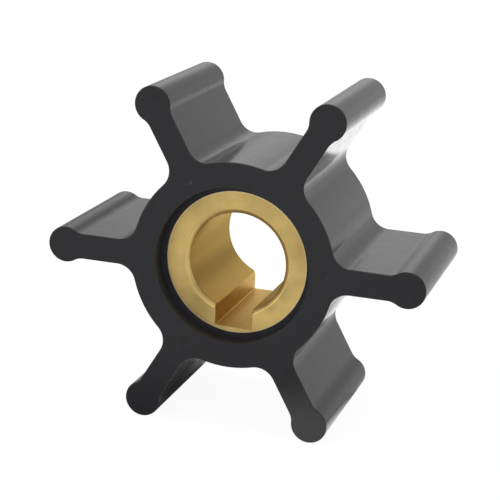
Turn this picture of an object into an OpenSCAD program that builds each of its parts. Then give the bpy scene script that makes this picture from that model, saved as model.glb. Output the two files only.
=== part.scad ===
// Flexible pump impeller: a moulded rubber hub with straight vanes that end in round beads,
// bonded onto a plain brass insert with a keyed bore.
// Millimetres. The bore axis is Y, the front faces -Y, and the origin is the middle of the bore.
// The impeller stands on its two lowest vane tips.

/* [Rubber body] */
// Diameter across the vane tips
tip_d = 50.8; // [46:0.2:58]
// Width of the rubber along the bore axis
width = 22; // [14:0.5:36]
// Number of vanes
vanes = 6; // [5:1:8]
// Diameter of the hub between the vanes
hub_d = 27.3; // [24:0.1:32]
// Radius of the fillets where a vane leaves the hub
root_r = 2.6; // [1:0.1:3.2]

/* [Vanes] */
// Thickness of a vane
vane_t = 3.4; // [2.4:0.1:4.2]
// Diameter of the round bead at a vane's tip
bead_d = 4.8; // [4.4:0.1:6.4]
// Radius of the hollow that leads from a vane into its bead
bead_blend_r = 2.3; // [0.8:0.1:4]

/* [Brass insert] */
// Outer diameter of the insert
insert_d = 19; // [18:0.1:21]
// Small bevel on the insert's two outer edges
insert_bevel = 0.1; // [0.05:0.05:0.5]
// Depth of the pocket between the rubber's face and the insert's end
pocket_depth = 2.1; // [0.5:0.1:4]
// Width of the rubber ledge that shows round the insert's end
pocket_ledge = 0.8; // [0.3:0.1:1.2]

/* [Bore and keyway] */
// Diameter of the bore that takes the shaft
bore_d = 13; // [10:0.1:13.8]
// Bevel on the two mouths of the bore
bore_bevel = 0.6; // [0.2:0.1:1]
// Width of the keyway
key_w = 5; // [3:0.1:6]
// Brass left between the keyway's lower corners and the insert's outside
key_web = 0.35; // [0.2:0.05:1.2]

/* [Hidden] */
$fn = 96;

// The solids that cut a hole reach this far past the faces they cut
past = 1;

hub_r = hub_d / 2;
half_t = vane_t / 2;
bead_r = bead_d / 2;

// Distance from the bore axis to the middle of a bead
bead_at = (tip_d - bead_d) / 2;

// The fillet circles dip this far into the forms that they blend, so that the outlines cross cleanly
dip = 0.0005;

// Middle of a root fillet, which touches the hub's circle and the vane's flank
root_y = half_t + root_r - dip;
root_x = sqrt(pow(hub_r + root_r - dip, 2) - pow(root_y, 2));

// Middle of a bead hollow, which touches the vane's flank and the bead's circle
blend_y = half_t + bead_blend_r - dip;
blend_x = bead_at - sqrt(pow(bead_r + bead_blend_r - dip, 2) - pow(blend_y, 2));

vane_pitch = 360 / vanes;

insert_r = insert_d / 2;
insert_len = width - 2 * pocket_depth;
pocket_r = insert_r + pocket_ledge;
bore_r = bore_d / 2;
key_floor = sqrt(pow(insert_r - key_web, 2) - pow(key_w / 2, 2));

// The fillet between the hub and a vane's upper flank, drawn for a vane along X
module root_fillet() {
    difference() {
        polygon([[0, 0], [root_x, 0], [root_x, root_y]]);
        translate([root_x, root_y]) circle(r = root_r);
    }
}

// The hollow between a vane's upper flank and its bead, drawn for a vane along X
module bead_hollow() {
    difference() {
        polygon([[blend_x, 0], [bead_at, 0], [blend_x, blend_y]]);
        translate([blend_x, blend_y]) circle(r = bead_blend_r);
    }
}

// One vane along X: its web, its bead and the fillets on both flanks
module vane_outline() {
    translate([0, -half_t]) square([bead_at, vane_t]);
    translate([bead_at, 0]) circle(r = bead_r);
    for (side = [0, 1]) mirror([0, side]) {
        root_fillet();
        bead_hollow();
    }
}

// The hub and all the vanes, with a gap between two vanes at the bottom
module body_outline() {
    circle(r = hub_r);
    for (i = [0 : vanes - 1]) rotate((i + 0.5) * vane_pitch - 90) vane_outline();
}

// Turns what is drawn in X and Y upright, with its height centred along the bore axis
module along_axis(length) {
    translate([0, length / 2, 0]) rotate([90, 0, 0]) children();
}

// One moulding: hub, vanes, the hole that the insert fills and a pocket at each end of it
module rubber_body() {
    color([0.045, 0.045, 0.05]) along_axis(width) difference() {
        linear_extrude(width) body_outline();
        translate([0, 0, -past]) cylinder(r = insert_r, h = width + 2 * past);
        translate([0, 0, -past]) cylinder(r = pocket_r, h = pocket_depth + past);
        translate([0, 0, width - pocket_depth]) cylinder(r = pocket_r, h = pocket_depth + past);
    }
}

// Half of the insert's section, turned round the bore axis
module insert_section() {
    polygon([
        [bore_r, bore_bevel],
        [bore_r + bore_bevel, 0],
        [insert_r - insert_bevel, 0],
        [insert_r, insert_bevel],
        [insert_r, insert_len - insert_bevel],
        [insert_r - insert_bevel, insert_len],
        [bore_r + bore_bevel, insert_len],
        [bore_r, insert_len - bore_bevel]
    ]);
}

// A turned brass bush with a keyway along its whole bore, at the bottom
module brass_insert() {
    color([0.68, 0.58, 0.36]) along_axis(insert_len) difference() {
        rotate_extrude() insert_section();
        translate([-key_w / 2, -key_floor, -past]) cube([key_w, key_floor, insert_len + 2 * past]);
    }
}

rubber_body();
brass_insert();
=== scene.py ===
import math

import bpy
import numpy as np
from mathutils import Matrix, Vector
from mathutils.geometry import delaunay_2d_cdt


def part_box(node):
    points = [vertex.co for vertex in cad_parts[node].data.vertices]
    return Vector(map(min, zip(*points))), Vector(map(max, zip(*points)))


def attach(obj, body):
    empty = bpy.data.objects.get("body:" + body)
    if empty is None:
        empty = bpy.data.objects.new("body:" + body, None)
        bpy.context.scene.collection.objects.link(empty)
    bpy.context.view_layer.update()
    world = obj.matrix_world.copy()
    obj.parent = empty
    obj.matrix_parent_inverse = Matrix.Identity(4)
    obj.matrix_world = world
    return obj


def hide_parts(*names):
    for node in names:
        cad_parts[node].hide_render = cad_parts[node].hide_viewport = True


# The looks of a flexible pump impeller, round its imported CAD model. Both pieces are rebuilt as closed
# meshes with the CAD model's sizes, with softened edges and small mould marks, and get procedural
# materials. The bore axis is Y and the front faces -Y. Sizes are in millimetres until a mesh is made.

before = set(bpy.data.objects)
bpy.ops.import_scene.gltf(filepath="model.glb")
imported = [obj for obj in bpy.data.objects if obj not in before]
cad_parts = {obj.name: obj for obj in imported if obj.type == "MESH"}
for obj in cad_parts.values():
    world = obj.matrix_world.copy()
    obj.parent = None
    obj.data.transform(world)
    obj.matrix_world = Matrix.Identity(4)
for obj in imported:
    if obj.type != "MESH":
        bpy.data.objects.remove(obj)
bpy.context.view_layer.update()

MM = 0.001

# Sizes of the rubber body, as in the CAD model
rubber_low, rubber_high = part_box("rubber_body")
TIP_R = rubber_high.x / MM
HALF_WIDTH = rubber_high.y / MM
FLOOR_Z = rubber_low.z / MM
VANES = 6
HUB_R = 13.65
ROOT_R = 2.6
HALF_VANE = 1.7
BEAD_R = 2.4
HOLLOW_R = 2.3
POCKET_R = 10.3
BEAD_AT = TIP_R - BEAD_R
PITCH = 2 * math.pi / VANES

# Sizes of the brass insert, as in the CAD model
brass_low, brass_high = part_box("brass_insert")
INSERT_R = brass_high.x / MM
HALF_INSERT = brass_high.y / MM
BORE_R = 6.5
BORE_BEVEL = 0.6
HALF_KEY = 2.5
KEY_WEB = 0.35
KEY_FLOOR = math.sqrt((INSERT_R - KEY_WEB) ** 2 - HALF_KEY ** 2)

# Softened edges of the rubber: round both faces, round a pocket's mouth, in the corner between its wall
# and its floor, and where the floor meets the insert
MOULD_EDGE = 0.14
POCKET_EDGE = 0.03
POCKET_FILLET = 0.03
SEAT_EDGE = 0.02

# Softened edges of the insert: its outer bevel and how far that is eased, the edges of the bore's bevel,
# the keyway's mouths, the edges between bore and keyway, and the keyway's lower corners
INSERT_BEVEL = 0.05
BEVEL_EASE = 0.01
CUT_EDGE = 0.05
KEY_MOUTH = 0.07
KEY_EDGE = 0.4
KEY_CORNER = 0.15

# How many steps each curve and flat of an outline has
FILLET_STEPS = 22
FLANK_STEPS = 10
HOLLOW_STEPS = 16
BEAD_STEPS = 30
HUB_STEPS = 24
BORE_STEPS = 150
CORNER_STEPS = 4
KEY_STEPS = 6
TURN_STEPS = 160
MARK_STEPS = 20

# How many steps lie across a rounded edge, across the seat's fine edge and along the vanes
EDGE_STEPS = 4
SEAT_STEPS = 2
WIDTH_STEPS = 8

# Points of a face that lie closer than this count as one
SAME_POINT = 1e-7

# Material slots of the rubber, and of the insert
OUTSIDE, POCKET = range(2)
TURNED, BORED, BROACHED = range(3)

# Round marks on the front face, left by the mould's pins: (x, z, radius, depth)
PIN_MARKS = [
    (12.55, 0.55, 0.6, 0.06),
    (-6.35, 10.55, 0.6, 0.06),
    (-5.75, -11.1, 0.6, 0.06),
    (0.0, -12.1, 0.4, 0.06),
]

# Section of a mark from its rim inwards: (share of the radius, share of the depth, tilt of the normal)
MARK_SECTION = [
    (1, 0, 0),
    (0.84, 0.35, 0.24),
    (0.68, 0.85, 0.18),
    (0.5, 1, 0),
]


def arc(centre, radius, start, end, steps, facing):
    """Points along an arc and their outward directions. facing is 1 on a bulge and -1 in a hollow."""
    angles = np.linspace(start, end, steps + 1)
    ray = np.stack([np.cos(angles), np.sin(angles)], 1)
    return np.asarray(centre) + radius * ray, facing * ray


def line(start, end, steps, facing):
    """Points along a straight line and their outward direction, without the line's two ends."""
    share = np.linspace(0, 1, steps + 1)[1:-1, None]
    points = np.asarray(start) + share * (np.asarray(end) - np.asarray(start))
    return points, np.tile(facing, (len(points), 1))


def picked(run, keep):
    """The part of a run of points and directions that a slice keeps."""
    return run[0][keep], run[1][keep]


def full_circle(steps):
    """A circle of radius 1 round the bore axis, with its outward directions."""
    return picked(arc((0, 0), 1, 0, 2 * math.pi, steps, 1), np.s_[:-1])


def flipped(run, flip):
    """The mirror image of a run, with -1 in flip for the axis that changes its sign."""
    return run[0] * np.array(flip), run[1] * np.array(flip)


def joined(*runs):
    """One run of points and directions from several."""
    return np.vstack([points for points, _ in runs]), np.vstack([facing for _, facing in runs])


def turned_by(run, angle):
    """The run turned round the bore axis."""
    c, s = math.cos(angle), math.sin(angle)
    turn = np.array([[c, s], [-s, c]])
    return run[0] @ turn, run[1] @ turn


def vane_side():
    """The upper side of a vane along X, from the hub to the middle of its tip, and the angle on the hub
    where it starts."""
    root_y = HALF_VANE + ROOT_R
    root_x = math.sqrt((HUB_R + ROOT_R) ** 2 - root_y ** 2)
    hollow_y = HALF_VANE + HOLLOW_R
    hollow_x = BEAD_AT - math.sqrt((BEAD_R + HOLLOW_R) ** 2 - hollow_y ** 2)
    lean = math.atan2(root_y, root_x)
    meet = math.atan2(hollow_y, hollow_x - BEAD_AT)
    fillet = arc((root_x, root_y), ROOT_R, math.pi + lean, 1.5 * math.pi, FILLET_STEPS, -1)
    flank = line((root_x, HALF_VANE), (hollow_x, HALF_VANE), FLANK_STEPS, (0, 1))
    hollow = arc((hollow_x, hollow_y), HOLLOW_R, 1.5 * math.pi, math.pi + meet, HOLLOW_STEPS, -1)
    bead = arc((BEAD_AT, 0), BEAD_R, meet, 0, BEAD_STEPS, 1)
    return joined(fillet, flank, hollow, picked(bead, np.s_[1:])), lean


def body_outline():
    """The outline of the rubber body, counterclockwise in X and Z, with its outward directions."""
    upper, lean = vane_side()
    lower = flipped(upper, (1, -1))
    hub = arc((0, 0), HUB_R, lean, PITCH - lean, HUB_STEPS, 1)
    sector = joined(lower, picked(upper, np.s_[-2::-1]), picked(hub, np.s_[1:-1]))
    return joined(*[turned_by(sector, (i + 0.5) * PITCH - math.pi / 2) for i in range(VANES)])


class Shell:
    """Collects a closed mesh in millimetres, with a smooth normal at each point."""

    def __init__(self):
        self.points = []
        self.normals = []
        self.faces = []
        self.slots = []

    def ring(self, flat, facing, y, out, along):
        """A ring of points at one y. Their normals mix the flat outward directions and the bore axis."""
        y, out, along = (np.broadcast_to(v, len(flat)) for v in (y, out, along))
        first = len(self.points)
        self.points += [(p[0], h, p[1]) for p, h in zip(flat, y)]
        for n, o, a in zip(facing, out, along):
            self.normals.append(Vector((n[0] * o, a, n[1] * o)).normalized())
        return list(range(first, first + len(flat)))

    def point(self, x, y, z, along):
        """One point whose normal runs along the bore axis."""
        self.points.append((x, y, z))
        self.normals.append(Vector((0, along, 0)))
        return len(self.points) - 1

    def strip(self, a, b, slots=None):
        """Joins two rings that have as many points. Their order decides which way the faces look."""
        n = len(a)
        for i in range(n):
            j = (i + 1) % n
            self.face((a[i], a[j], b[j], b[i]), slots[i] if slots else 0)

    def strips(self, rings, slots=None):
        """Joins each ring to the next."""
        for a, b in zip(rings, rings[1:]):
            self.strip(a, b, slots)

    def face(self, corners, slot=0):
        """Adds a face in the material of a slot."""
        self.faces.append(tuple(corners))
        self.slots.append(slot)

    def build(self, name, materials):
        """Makes the Blender object, in metres."""
        mesh = bpy.data.meshes.new(name)
        mesh.from_pydata([Vector(p) * MM for p in self.points], [], self.faces)
        for material in materials:
            mesh.materials.append(material)
        mesh.polygons.foreach_set("material_index", self.slots)
        mesh.polygons.foreach_set("use_smooth", [True] * len(mesh.polygons))
        mesh.validate()
        mesh.normals_split_custom_set_from_vertices(self.normals)
        mesh.update()
        piece = bpy.data.objects.new(name, mesh)
        bpy.context.scene.collection.objects.link(piece)
        return piece


def inside(loop, spots):
    """Which of the spots lie inside a closed loop of points."""
    x, y = spots[:, 0][:, None], spots[:, 1][:, None]
    ax, ay = loop[:, 0], loop[:, 1]
    bx, by = np.roll(ax, -1), np.roll(ay, -1)
    crosses = (ay > y) != (by > y)
    with np.errstate(divide="ignore", invalid="ignore"):
        at = ax + (y - ay) * (bx - ax) / (by - ay)
    return ((crosses & (x < at)).sum(1) % 2) == 1


def fill_face(shell, outer, holes, front):
    """Fills a flat face between an outer ring and the rings of its holes."""
    rings = [outer] + holes
    index = [i for ring in rings for i in ring]
    flat = [np.array([(shell.points[i][0], shell.points[i][2]) for i in ring]) for ring in rings]
    edges = []
    start = 0
    for ring in rings:
        edges += [(start + k, start + (k + 1) % len(ring)) for k in range(len(ring))]
        start += len(ring)
    spots = [Vector(p) for p in np.vstack(flat)]
    # The 0 asks for triangles all over the convex hull, and those within the face are kept
    found = delaunay_2d_cdt(spots, edges, [], 0, SAME_POINT)
    placed = np.array([tuple(v) for v in found[0]])
    triangles = np.array(found[2])
    origin = [sources[0] for sources in found[3]]
    middle = placed[triangles].mean(1)
    keep = inside(flat[0], middle)
    for hole in flat[1:]:
        keep &= ~inside(hole, middle)
    for triangle in triangles[keep]:
        corners = [index[origin[k]] for k in triangle]
        shell.face(corners if front else corners[::-1])


def quarter(steps):
    """The angles of a quarter turn, from 0 up."""
    return np.linspace(0, math.pi / 2, steps + 1)


def rounded(edge, steps=EDGE_STEPS):
    """(inset, drop, share outwards, share along the axis) from a flat face round to its side."""
    for a in quarter(steps):
        yield edge * (1 - math.sin(a)), edge * (1 - math.cos(a)), math.sin(a), math.cos(a)


def both_ends(half):
    """Rings from the front to the back. half makes those of one end from its face inwards, with side as
    -1 at the front and 1 at the back."""
    return half(-1) + half(1)[::-1]


def pin_mark(shell, x, z, radius, depth):
    """A shallow dish with a soft rim. Returns the ring at face level."""
    y = -HALF_WIDTH
    circle, ray = full_circle(MARK_STEPS)
    rings = []
    for share, fall, tilt in MARK_SECTION:
        rings.append(shell.ring(circle * radius * share + (x, z), -ray, y + depth * fall, tilt, -1))
    shell.strips(rings)
    middle = shell.point(x, y + depth, z, -1)
    last = rings[-1]
    for i in range(len(last)):
        shell.face((last[i], last[(i + 1) % len(last)], middle))
    return rings[0]


def rubber_sides(shell):
    """The outside of the hub and the vanes. Returns its rings from front to back."""
    outline, facing = body_outline()
    edge = list(rounded(MOULD_EDGE))
    sides = []
    for inset, drop, out, along in edge:
        sides.append(shell.ring(outline - inset * facing, facing, -HALF_WIDTH + drop, out, -along))
    for y in np.linspace(-HALF_WIDTH, HALF_WIDTH, WIDTH_STEPS + 1)[1:-1]:
        sides.append(shell.ring(outline, facing, y, 1, 0))
    for inset, drop, out, along in edge[::-1]:
        sides.append(shell.ring(outline - inset * facing, facing, HALF_WIDTH - drop, out, along))
    shell.strips(sides[::-1], [OUTSIDE] * len(outline))
    return sides


def rubber_hole(shell):
    """The two pockets and the hole between them. Returns its rings from front to back."""
    circle, ray = full_circle(TURN_STEPS)

    def hole_ring(radius, y, out, along):
        return shell.ring(circle * radius, -ray, y, out, along)

    def hole_end(side):
        half = []
        for inset, drop, out, along in rounded(POCKET_EDGE):
            half.append(hole_ring(POCKET_R + inset, side * (HALF_WIDTH - drop), out, side * along))
        for a in quarter(EDGE_STEPS):
            radius = POCKET_R - POCKET_FILLET * (1 - math.cos(a))
            y = HALF_INSERT + POCKET_FILLET * (1 - math.sin(a))
            half.append(hole_ring(radius, side * y, math.cos(a), side * math.sin(a)))
        for inset, drop, out, along in rounded(SEAT_EDGE, SEAT_STEPS):
            half.append(hole_ring(INSERT_R + inset, side * (HALF_INSERT - drop), out, side * along))
        return half

    rings = both_ends(hole_end)
    shell.strips(rings, [POCKET] * TURN_STEPS)
    return rings


def rubber_body(materials):
    """The moulding: hub and vanes, a pocket at each end and the hole that the insert fills."""
    shell = Shell()
    sides = rubber_sides(shell)
    hole = rubber_hole(shell)
    marks = [pin_mark(shell, *mark) for mark in PIN_MARKS]
    fill_face(shell, sides[0], [hole[0]] + marks, True)
    fill_face(shell, sides[-1], [hole[-1]], False)
    return shell.build("rubber_body_moulding", materials)


def opening(radius, widen):
    """The bore with its keyway, counterclockwise in X and Z: points, directions into the opening, and
    how far each point belongs to the round bore (1) and not to the keyway (0). The values between are
    on the rounded edges that part the two."""
    wall = HALF_KEY + widen
    floor = -(KEY_FLOOR + widen)
    # The middle of the rounded edge lies in the brass, next to the wall and outside the bore's circle
    edge_x = wall + KEY_EDGE
    edge_z = -math.sqrt((radius + KEY_EDGE) ** 2 - edge_x ** 2)
    lean = math.atan2(edge_z, edge_x)
    bore = arc((0, 0), radius, lean, math.pi - lean, BORE_STEPS, -1)
    edge = arc((edge_x, edge_z), KEY_EDGE, math.pi, math.pi + lean, CORNER_STEPS, 1)
    down = line((wall, floor + KEY_CORNER), (wall, edge_z), KEY_STEPS, (-1, 0))
    corner_at = (wall - KEY_CORNER, floor + KEY_CORNER)
    corner = arc(corner_at, KEY_CORNER, -math.pi / 2, 0, CORNER_STEPS, -1)
    half_floor = line((0, floor), (wall - KEY_CORNER, floor), KEY_STEPS, (0, 1))
    middle = (np.array([[0, floor]]), np.array([[0, 1]]))
    side = joined(middle, half_floor, corner, down, picked(edge, np.s_[:-1]))
    other_side = flipped(picked(side, np.s_[:0:-1]), (-1, 1))
    points, facing = joined(side, bore, other_side)
    share = np.zeros(len(points))
    start = len(side[0])
    end = start + len(bore[0])
    share[start:end] = 1
    share[start - CORNER_STEPS:start] = np.linspace(0, 1, CORNER_STEPS + 1)[:-1]
    share[end:end + CORNER_STEPS] = np.linspace(1, 0, CORNER_STEPS + 1)[1:]
    return points, facing, share


# The bore's mouth, level by level: (distance in from the end face, bore radius, tilt of the bore's normal
# in degrees, how far the keyway is widened, tilt of its normal)
MOUTH_LEVELS = [
    (0.0, BORE_R + BORE_BEVEL + CUT_EDGE, 90, KEY_MOUTH, 90),
    (0.3 * CUT_EDGE, BORE_R + BORE_BEVEL, 72, 0.4 * KEY_MOUTH, 60),
    (CUT_EDGE, BORE_R + BORE_BEVEL - CUT_EDGE, 60, 0.15 * KEY_MOUTH, 30),
    (1.6 * CUT_EDGE, BORE_R + BORE_BEVEL - 1.6 * CUT_EDGE, 56, 0, 0),
    (BORE_BEVEL - CUT_EDGE, BORE_R + CUT_EDGE, 38, 0, 0),
    (BORE_BEVEL + 0.4 * CUT_EDGE, BORE_R, 0, 0, 0),
]

# The insert's outer bevel, level by level: (inset, distance in from the end face, tilt of the normal in
# degrees)
BEVEL_LEVELS = [
    (INSERT_BEVEL + BEVEL_EASE, 0, 90),
    (INSERT_BEVEL - BEVEL_EASE, BEVEL_EASE, 70),
    (BEVEL_EASE, INSERT_BEVEL - BEVEL_EASE, 45),
    (0, INSERT_BEVEL + BEVEL_EASE, 0),
]


def insert_bore(shell):
    """The bore with its bevels and its keyway. Returns its rings from front to back."""

    def bore_end(side):
        half = []
        for depth, radius, bore_tilt, widen, key_tilt in MOUTH_LEVELS:
            flat, facing, share = opening(radius, widen)
            tilt = np.radians(share * bore_tilt + (1 - share) * key_tilt)
            y = side * (HALF_INSERT - depth)
            half.append(shell.ring(flat, facing, y, np.cos(tilt), side * np.sin(tilt)))
        return half

    # The bevels are turned, and the long walls between them are bored, with turned edges, or broached
    rings = both_ends(bore_end)
    share = opening(BORE_R, 0)[2]
    mouths = [TURNED if s else BROACHED for s in share]
    walls = [BORED if s == 1 else TURNED if s else BROACHED for s in share]
    between = len(MOUTH_LEVELS) - 1
    for k, (a, b) in enumerate(zip(rings, rings[1:])):
        shell.strip(a, b, walls if k == between else mouths)
    return rings


def insert_outside(shell):
    """The outer cylinder and its bevels, with each point in line with one of the bore's. Returns its
    rings from front to back."""
    mouth = opening(MOUTH_LEVELS[0][1], MOUTH_LEVELS[0][3])[0]
    ray = mouth / np.linalg.norm(mouth, axis=1)[:, None]

    def outer_end(side):
        half = []
        for inset, drop, tilt in BEVEL_LEVELS:
            flat = ray * (INSERT_R - inset)
            y = side * (HALF_INSERT - drop)
            tilt = math.radians(tilt)
            half.append(shell.ring(flat, ray, y, math.cos(tilt), side * math.sin(tilt)))
        return half

    rings = both_ends(outer_end)
    shell.strips(rings[::-1])
    return rings


def brass_insert(materials):
    """The turned bush with its bevels and its keyway, which is open at both ends."""
    shell = Shell()
    inner = insert_bore(shell)
    outer = insert_outside(shell)
    shell.strip(outer[0], inner[0])
    shell.strip(inner[-1], outer[-1])
    return shell.build("brass_insert_turning", materials)


class Nodes:
    """A short way to write a node tree."""

    # Vector operations that give a number
    MEASURES = ("LENGTH", "DISTANCE", "DOT_PRODUCT")

    def __init__(self, tree):
        self.tree = tree
        tree.nodes.clear()

    def add(self, kind, settings=None, **values):
        """Adds a node. Each value is a number, a colour or the output that feeds the input. It has the
        input's name, with _ for a space, or i and the input's number."""
        node = self.tree.nodes.new(kind)
        for name, value in (settings or {}).items():
            setattr(node, name, value)
        for name, value in values.items():
            key = int(name[1:]) if name[0] == "i" and name[1:].isdigit() else name.replace("_", " ")
            if isinstance(value, bpy.types.NodeSocket):
                self.tree.links.new(value, node.inputs[key])
            else:
                node.inputs[key].default_value = value
        return node

    def math(self, operation, a, b=0.0):
        """A result of one or two numbers."""
        return self.add("ShaderNodeMath", {"operation": operation}, i0=a, i1=b).outputs[0]

    def vector(self, operation, a, b=(0, 0, 0)):
        """A result of one or two vectors."""
        node = self.add("ShaderNodeVectorMath", {"operation": operation}, i0=a, i1=b)
        return node.outputs["Value" if operation in self.MEASURES else "Vector"]

    def scaled(self, source, span, to_span):
        """Maps a span of numbers to another and keeps within it."""
        low, high = span
        to_low, to_high = to_span
        node = self.add("ShaderNodeMapRange", i0=source, i1=low, i2=high, i3=to_low, i4=to_high)
        return node.outputs[0]

    def mixed(self, share, a, b):
        """Mixes two colours."""
        return self.add("ShaderNodeMix", {"data_type": "RGBA"}, i0=share, i6=a, i7=b).outputs[2]

    def noise(self, where, scale, detail, rough=0.5):
        """Noise at a place, or along a line if where is a number. Its scale is in waves per unit of where."""
        flat = where.type == "VALUE"
        node = self.add(
            "ShaderNodeTexNoise",
            {"noise_dimensions": "1D" if flat else "3D"},
            Scale=scale,
            Detail=detail,
            Roughness=rough,
        )
        self.tree.links.new(where, node.inputs["W" if flat else "Vector"])
        return node.outputs["Fac"]

    def bump(self, height, strength, depth, **below):
        """A normal that follows a height, whose full range is the depth in millimetres. Where below holds a
        Normal, it adds to that one."""
        node = self.add("ShaderNodeBump", Strength=strength, Distance=depth * MM, Height=height, **below)
        return node.outputs[0]

    def place(self):
        """The point's place in millimetres."""
        where = self.add("ShaderNodeTexCoord").outputs["Object"]
        return self.add("ShaderNodeVectorMath", {"operation": "SCALE"}, i0=where, Scale=1 / MM).outputs[0]

    def along_bore(self, where):
        """The y of a place or direction."""
        return self.add("ShaderNodeSeparateXYZ", i0=where).outputs[1]

    def radius(self, where):
        """How far a place lies from the bore axis."""
        return self.vector("LENGTH", self.vector("MULTIPLY", where, (1, 0, 1)))


def new_material(name):
    """An empty material and its nodes."""
    material = bpy.data.materials.new(name)
    material.use_nodes = True
    return material, Nodes(material.node_tree)


# The span that most values of a noise lie in
NOISE_SPAN = (0.3, 0.7)

# The two tones that the rubber varies between, and its smudges, which also paint a sheen on the flanks
RUBBER_TONES = [(0.0078, 0.0078, 0.0098), (0.0120, 0.0120, 0.0149)]
SMUDGE_AND_SHEEN_TONE = (0.018, 0.018, 0.020, 1)

# The rubber's finishes in the order of its slots: (name, share of the tones, span of roughness, gloss)
RUBBER_FINISHES = [
    ("moulded_rubber", 1.0, (0.12, 0.20), 0.5),
    # The pocket's rubber has lighter tones than the rest: painted light in the pocket
    ("pocket_rubber", 1.8, (0.40, 0.50), 0.25),
]


def rubber_material(name, shade, rough_span, gloss):
    """Black rubber with a fine moulded grain and soft unevenness, with smudges and a painted sheen on its
    flanks.
    """
    material, n = new_material(name)
    where = n.place()
    cloud = n.scaled(n.noise(where, scale=0.7, detail=4.0), (0.25, 0.75), (0.0, 1.0))
    colour = n.mixed(cloud, *[[c * shade for c in tone] + [1] for tone in RUBBER_TONES])
    faces_front = n.math("ABSOLUTE", n.along_bore(n.add("ShaderNodeNewGeometry").outputs["Normal"]))
    # Lighter smudges on the sides but not on the faces: partly smudges, partly a painted sheen at glancing
    # angles
    smudge_and_sheen = n.scaled(n.noise(where, scale=1.1, detail=5.0, rough=0.65), (0.46, 0.68), (0.0, 1.0))
    smudge_and_sheen = n.math("MULTIPLY", smudge_and_sheen, n.math("SUBTRACT", 1.0, faces_front))
    colour = n.mixed(smudge_and_sheen, colour, SMUDGE_AND_SHEEN_TONE)
    rough = n.scaled(n.noise(where, scale=0.9, detail=4.0), NOISE_SPAN, rough_span)
    uneven = n.bump(n.noise(where, scale=0.35, detail=1.0), strength=0.5, depth=0.04)
    grain = n.bump(n.noise(where, scale=9.0, detail=2.0), strength=0.35, depth=0.004, Normal=uneven)
    shader = n.add(
        "ShaderNodeBsdfPrincipled",
        Base_Color=colour,
        Roughness=rough,
        IOR=1.5,
        Specular_IOR_Level=gloss,
        Normal=grain,
    )
    n.add("ShaderNodeOutputMaterial", Surface=shader.outputs[0])
    return material


# Painted shade: darker patches on the insert's ends, in its bore and in its keyway, which run lengthwise
# and darken the brass where its light and reflections leave it darker: (x and z of the middle, how far
# from it a patch starts to fade and where it ends, its tone)
END_PAINTED_SHADE = [
    ((-4.8, -6.9), 1.5, 5.0, 0.66),
    ((-5.0, 6.6), 1.0, 5.0, 0.80),
    ((3.2, 7.6), 1.0, 4.5, 0.86),
    ((4.6, -5.0), 0.5, 1.7, 0.70),
    ((6.2, -2.8), 0.6, 1.9, 0.76),
    ((9.2, 3.6), 1.0, 4.2, 0.86),
]
# Painted shade in the bore, in place of darker bands of reflection
BORE_PAINTED_SHADE = [
    ((-6.2, 2.0), 1.2, 5.5, 0.50),
    ((-5.6, -3.3), 0.5, 2.2, 0.66),
]
# Painted shade on the front part of the keyway's floor
KEYWAY_PAINTED_SHADE = [
    ((0.6, -8.8), 1.2, 3.2, 0.80),
]

# How much y counts, against x and z, in streaks, in the patches of painted shade and in the broach's lines.
# So little of it draws them out along the bore.
STREAK = 0.08
BROACH_STREAK = 0.03

# Colours of the brass, of its outer rim made paler as painted light, and of its reflections at a glancing
# angle
BRASS = (0.93, 0.67, 0.245)
LIT_RIM_BRASS = (1.0, 0.84, 0.52, 1)
BRASS_GLANCE = (0.95, 0.80, 0.50, 1)

# Radii between which the painted light on the outer rim sets in, and how strong it gets
LIT_RIM_FROM = INSERT_R - 0.25
LIT_RIM_TO = INSERT_R - 0.08
LIT_RIM_SHARE = 0.5

# A quarter turn, which lays the stretched highlights across the tool marks
ACROSS_MARKS = 0.25


def turning_marks(n, where):
    """Fine rings round the bore axis, as a lathe leaves them on end faces and in the bore."""
    return n.noise(n.math("ADD", n.radius(where), n.along_bore(where)), scale=7.0, detail=2.0, rough=0.6)


def broaching_marks(n, where):
    """Fine lines along the bore axis, as a broach leaves them in a keyway."""
    return n.noise(n.vector("MULTIPLY", where, (1, BROACH_STREAK, 1)), scale=6.0, detail=2.0, rough=0.6)


# The insert's finishes in the order of its slots: (name, tool marks, shares of the brass colour, tone of
# the darkest streaks, patches of painted shade, span of roughness, how far highlights are stretched)
BRASS_FINISHES = [
    ("turned_brass", turning_marks, (1.0, 1.0, 1.0), 0.84, END_PAINTED_SHADE, (0.31, 0.41), 0.6),
    # The bored and broached brass get darker shares of the brass colour: painted shade in the bore and keyway
    ("bored_brass", turning_marks, (0.74, 0.69, 0.65), 0.85, BORE_PAINTED_SHADE, (0.34, 0.42), 0.6),
    ("broached_brass", broaching_marks, (0.81, 0.79, 0.92), 0.80, KEYWAY_PAINTED_SHADE, (0.42, 0.50), 0.0),
]


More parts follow.
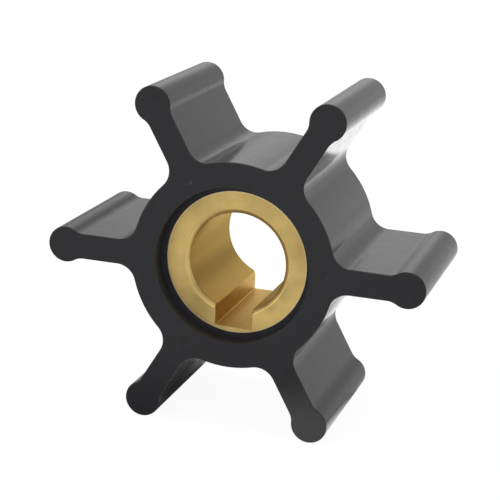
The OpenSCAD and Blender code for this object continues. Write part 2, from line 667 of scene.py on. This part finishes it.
def brass_material(name, marks, shade, dull, painted_shade_patches, rough_span, stretch):
    """Machined brass with fine streaks, patches of painted shade and a pale outer rim of painted light."""
    material, n = new_material(name)
    where = n.place()
    height = marks(n, where)
    lengthwise = n.vector("MULTIPLY", where, (1, STREAK, 1))
    tone = n.scaled(n.noise(lengthwise, scale=0.45, detail=3.0), NOISE_SPAN, (dull, 1.0))
    # Patches of painted shade darken the tone where the brass looks darker for its light
    for (x, z), start, end, low in painted_shade_patches:
        away = n.vector("DISTANCE", lengthwise, (x, 0, z))
        tone = n.math("MULTIPLY", tone, n.scaled(away, (start, end), (low, 1.0)))
    colour = n.mixed(tone, (0, 0, 0, 1), [c * s for c, s in zip(BRASS, shade)] + [1])
    # Painted light: the brass gets paler towards its outer rim, next to the pocket's wall
    rim_light = n.scaled(n.radius(where), (LIT_RIM_FROM, LIT_RIM_TO), (0.0, LIT_RIM_SHARE))
    shader = n.add(
        "ShaderNodeBsdfPrincipled",
        Base_Color=n.mixed(rim_light, colour, LIT_RIM_BRASS),
        Roughness=n.scaled(height, NOISE_SPAN, rough_span),
        Metallic=1.0,
        Specular_Tint=BRASS_GLANCE,
        Anisotropic=stretch,
        Anisotropic_Rotation=ACROSS_MARKS,
        Tangent=n.add("ShaderNodeTangent", {"direction_type": "RADIAL", "axis": "Y"}).outputs[0],
        Normal=n.bump(height, strength=0.3, depth=0.01),
    )
    n.add("ShaderNodeOutputMaterial", Surface=shader.outputs[0])
    return material


# What the object mirrors: a plain studio that is dimmer at the front, and the cosines from straight back
# between which it goes over
GLOW_FRONT = 0.42
GLOW_BACK = 0.67
GLOW_TURN = (-0.3, 0.2)

# Soft panels in that studio: (the direction that it lies in, the dot products with it where its edge starts
# and ends, brightness). One with a brightness below 0 is a dark flag.
PANELS = [
    ((0.92, -0.27, -0.20), 0.70, 0.95, 0.50),
    ((-0.77, -0.62, 0.12), 0.92, 0.97, 1.90),
    ((-0.27, -0.92, -0.27), 0.88, 0.96, 0.14),
    ((0.05, -0.95, 0.30), 0.94, 0.99, 0.12),
    ((-0.05, 0.93, -0.36), 0.90, 0.98, 0.97),
    ((0.37, 0.92, 0.06), 0.96, 0.99, 0.06),
    ((-0.24, 0.93, 0.28), 0.975, 0.997, 0.27),
    ((-0.33, 0.94, 0.0), 0.955, 0.99, -0.17),
    ((0.30, -0.33, -0.89), 0.79, 0.95, 0.96),
    ((-0.94, 0.22, 0.20), 0.54, 0.90, -0.56),
    ((-0.98, 0.18, 0.02), 0.94, 0.99, -0.16),
]

# Brightness of the plain world that lights the object
FILL = 0.72

# The floor: half its side in metres, its own white for the camera, how much light and shadow show on that
# white, and its tone for the light that it gives back
FLOOR_HALF = 3.0
FLOOR_WHITE = 0.94
FLOOR_SHADOW = (0.09, 0.09, 0.09, 1)
FLOOR_TONE = (0.8, 0.8, 0.8, 1)

WHITE = (1, 1, 1, 1)


def towards(n, direction, aim, products, levels):
    """Maps a span of dot products of a direction and an aim to a span of levels."""
    return n.scaled(n.vector("DOT_PRODUCT", direction, aim), products, levels)


def studio_plain(n, direction):
    """How bright the plain studio is in a direction, for reflections."""
    return towards(n, direction, (0, 1, 0), GLOW_TURN, (GLOW_FRONT, GLOW_BACK))


def studio_panels(n, direction):
    """How much the panels add in a direction."""
    total = 0.0
    for aim, edge, core, bright in PANELS:
        total = n.math("ADD", towards(n, direction, aim, (edge, core), (0.0, bright)), total)
    return total


def ray_switches(n):
    """Two numbers: 1 for the camera's rays, and 1 for those and for mirrored and refracted rays, else 0."""
    path = n.add("ShaderNodeLightPath").outputs
    mirrored = n.math("MAXIMUM", path["Is Glossy Ray"], path["Is Transmission Ray"])
    return path["Is Camera Ray"], n.math("MAXIMUM", path["Is Camera Ray"], mirrored)


def chosen(n, switch, off, on):
    """The second shader where the switch is 1, else the first."""
    return n.add("ShaderNodeMixShader", i0=switch, i1=off.outputs[0], i2=on.outputs[0])


def studio_world():
    """White for the camera, the studio for reflections and a plain fill for all other light."""
    world = bpy.data.worlds.new("studio")
    world.use_nodes = True
    bpy.context.scene.world = world
    n = Nodes(world.node_tree)
    by_camera, direct = ray_switches(n)
    direction = n.add("ShaderNodeTexCoord").outputs["Generated"]
    level = n.math("ADD", studio_plain(n, direction), studio_panels(n, direction))
    glow = n.add("ShaderNodeBackground", Color=WHITE, Strength=level)
    white = n.add("ShaderNodeBackground", Color=WHITE, Strength=1.0)
    fill = n.add("ShaderNodeBackground", Color=WHITE, Strength=FILL)
    sky = chosen(n, direct, fill, chosen(n, by_camera, glow, white))
    n.add("ShaderNodeOutputWorld", Surface=sky.outputs[0])


def floor_material():
    """White with a faint shadow for the camera, the studio for reflections and plain for other light."""
    material, n = new_material("white_floor")
    by_camera, direct = ray_switches(n)
    # The direction from the middle of the object to a point of the floor
    direction = n.vector("NORMALIZE", n.add("ShaderNodeNewGeometry").outputs["Position"])
    plain_studio = n.add("ShaderNodeBsdfDiffuse", Color=studio_plain(n, direction))
    panels = n.add("ShaderNodeEmission", Color=WHITE, Strength=studio_panels(n, direction))
    mirrored = n.add("ShaderNodeAddShader", i0=plain_studio.outputs[0], i1=panels.outputs[0])
    white = n.add("ShaderNodeEmission", Color=WHITE, Strength=FLOOR_WHITE)
    shadow = n.add("ShaderNodeBsdfDiffuse", Color=FLOOR_SHADOW)
    shown = n.add("ShaderNodeAddShader", i0=white.outputs[0], i1=shadow.outputs[0])
    plain = n.add("ShaderNodeBsdfDiffuse", Color=FLOOR_TONE)
    surface = chosen(n, direct, plain, chosen(n, by_camera, mirrored, shown))
    n.add("ShaderNodeOutputMaterial", Surface=surface.outputs[0])
    return material


def studio_floor():
    """A large floor under the vane tips."""
    square = ((-1, -1), (1, -1), (1, 1), (-1, 1))
    corners = [(x * FLOOR_HALF, y * FLOOR_HALF, FLOOR_Z * MM) for x, y in square]
    mesh = bpy.data.meshes.new("floor")
    mesh.from_pydata(corners, [], [(0, 1, 2, 3)])
    mesh.materials.append(floor_material())
    floor = bpy.data.objects.new("floor", mesh)
    bpy.context.scene.collection.objects.link(floor)


# The lamps: (name, place and side of the square in metres, power in watts)
LAMPS = [
    ("lamp_above", (-0.25, 0.3, 0.9), 1.3, 4.2),
    ("lamp_front", (0.12, -0.95, 0.62), 1.2, 3.4),
]


def soft_lamp(name, place, size, power):
    """A square area lamp that faces the middle of the object."""
    lamp = bpy.data.lights.new(name, "AREA")
    lamp.shape = "SQUARE"
    lamp.size = size
    lamp.energy = power
    thing = bpy.data.objects.new(name, lamp)
    thing.location = place
    thing.rotation_euler = (-Vector(place)).to_track_quat("-Z", "Y").to_euler()
    bpy.context.scene.collection.objects.link(thing)


# The photograph's viewpoint, worked out from the object's outline in it: the camera's place, its angles in
# degrees, its focal length, the width of its sensor and how near it sees
CAMERA_PLACE = (57.650, -197.509, 57.929)
AZIMUTH = 16.503
ELEVATION = 15.886
ROLL = 2.971
LENS = 114.486
SENSOR_WIDTH = 36.0
CLIP_START = 10


def photo_camera():
    """The camera at the photograph's viewpoint."""
    azimuth, elevation, roll = (math.radians(angle) for angle in (AZIMUTH, ELEVATION, ROLL))
    data = bpy.data.cameras.new("photo_view")
    data.lens = LENS
    data.sensor_width = SENSOR_WIDTH
    data.clip_start = CLIP_START * MM
    thing = bpy.data.objects.new("photo_view", data)
    place = Matrix.Translation(Vector(CAMERA_PLACE) * MM)
    turn = Matrix.Rotation(azimuth, 4, "Z") @ Matrix.Rotation(math.pi / 2 - elevation, 4, "X")
    thing.matrix_world = place @ turn @ Matrix.Rotation(roll, 4, "Z")
    bpy.context.scene.collection.objects.link(thing)
    bpy.context.scene.camera = thing


photo_camera()
studio_world()
studio_floor()
for lamp in LAMPS:
    soft_lamp(*lamp)

rubber = rubber_body([rubber_material(*finish) for finish in RUBBER_FINISHES])
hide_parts("rubber_body")
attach(rubber, "root")

brass = brass_insert([brass_material(*finish) for finish in BRASS_FINISHES])
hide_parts("brass_insert")
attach(brass, "root")

bpy.context.scene.view_settings.view_transform = "Standard"
